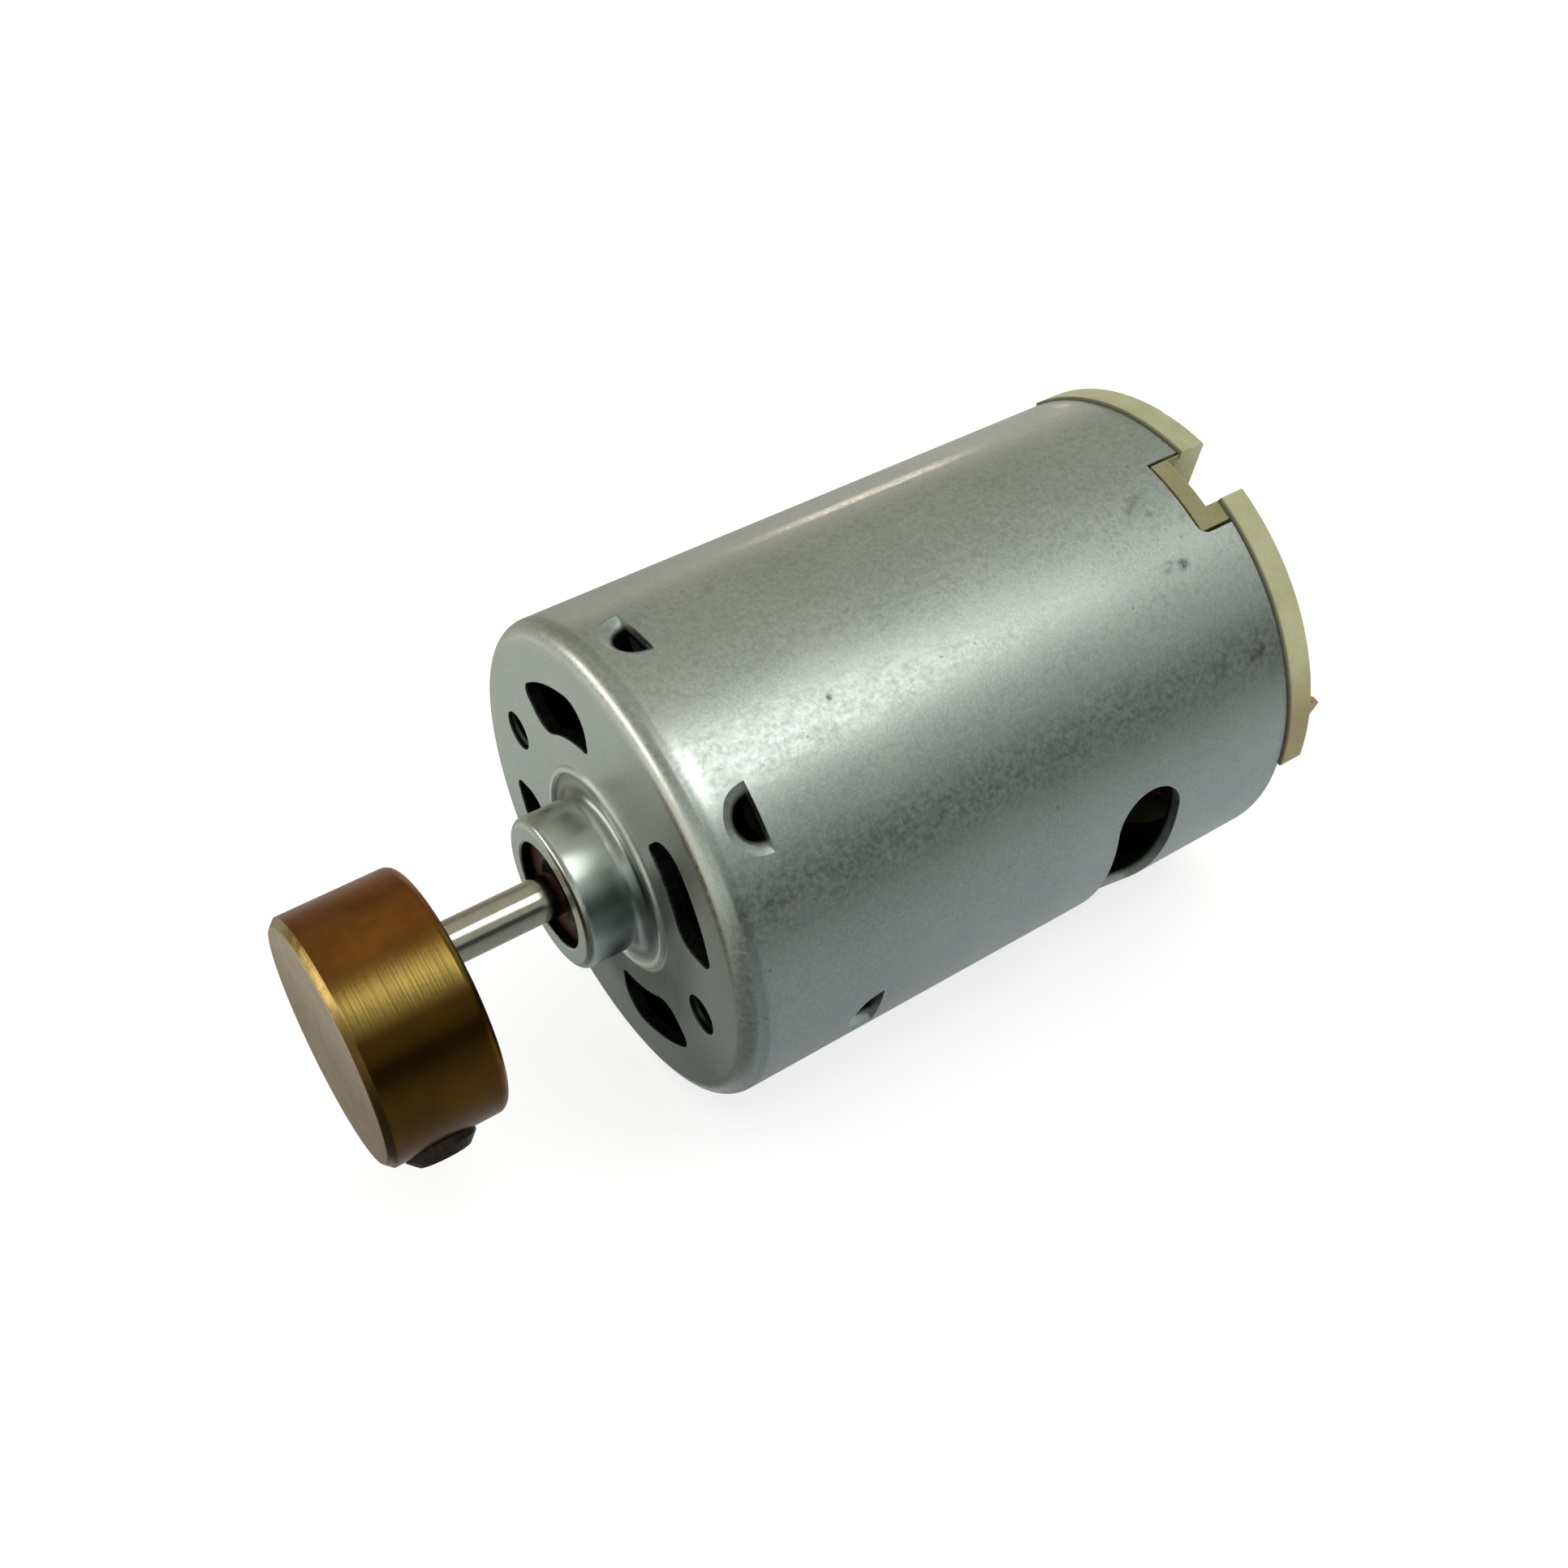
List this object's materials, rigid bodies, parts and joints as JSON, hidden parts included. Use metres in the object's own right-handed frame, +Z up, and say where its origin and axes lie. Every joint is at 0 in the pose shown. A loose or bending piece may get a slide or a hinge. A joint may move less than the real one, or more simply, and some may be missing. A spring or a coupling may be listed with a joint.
{
  "type": "brushed electric motor",
  "caption": "Brushed permanent-magnet motor in a drawn steel can, with an eccentric brass weight on its shaft to make vibration.",
  "frame": {"origin": "centre of the front mounting face, on the shaft axis", "axes": "-Y along the shaft towards the weight, +Y towards the end cap, +Z up with the motor lying on its can"},
  "size_m": [0.0362, 0.0774, 0.0362],
  "materials": {
    "can_zinc": "satin zinc-plated deep-drawn steel",
    "cap_nylon": "ivory moulded nylon with a fine matt grain",
    "shaft_steel": "ground and polished steel",
    "weight_brass": "turned brass, slightly darkened",
    "screw_black": "black oxide steel",
    "bronze_sintered": "oil-soaked sintered bronze",
    "spring_steel": "bright spring steel",
    "ferrite": "sintered ferrite",
    "brush_copper": "bare copper alloy strip",
    "terminal_copper": "bare copper strip",
    "carbon": "pressed copper-graphite",
    "core_steel": "stacked and varnished laminations",
    "insulator": "pressed fibre end piece",
    "magnet_wire": "enamelled copper wire",
    "moulding_black": "phenolic moulding",
    "commutator_copper": "turned copper with brush marks",
    "surge_ceramic": "grey ceramic ring",
    "spacer_plastic": "natural acetal",
    "washer_fibre": "oiled fibre washer"
  },
  "bodies": {
    "stator": {"motor_can": "can_zinc", "end_cap": "cap_nylon", "front_bearing": "bronze_sintered", "front_bearing_retainer": "spring_steel", "rear_bearing": "bronze_sintered", "rear_bearing_retainer": "spring_steel", "magnet_upper": "ferrite", "magnet_lower": "ferrite", "magnet_clip_right": "spring_steel", "magnet_clip_left": "spring_steel", "terminal_1": "terminal_copper", "terminal_2": "terminal_copper", "brush_arm_1": "brush_copper", "brush_arm_2": "brush_copper", "carbon_brush_1": "carbon", "carbon_brush_2": "carbon"},
    "rotor": {"shaft": "shaft_steel", "armature_core": "core_steel", "front_insulator": "insulator", "rear_insulator": "insulator", "coil_1": "magnet_wire", "coil_2": "magnet_wire", "coil_3": "magnet_wire", "commutator_hub": "moulding_black", "commutator_bar_1": "commutator_copper", "commutator_bar_2": "commutator_copper", "commutator_bar_3": "commutator_copper", "surge_ring": "surge_ceramic", "front_spacer": "spacer_plastic", "front_thrust_washer": "washer_fibre", "rear_spacer": "spacer_plastic", "rear_thrust_washer": "washer_fibre", "eccentric_weight": "weight_brass", "weight_set_screw": "screw_black"}
  },
  "joints": [
    {"name": "rotor_spin", "type": "hinge", "parent": "stator", "child": "rotor", "pos_m": [0, 0, 0], "axis": [0, -1, 0], "continuous": true}
  ]
}
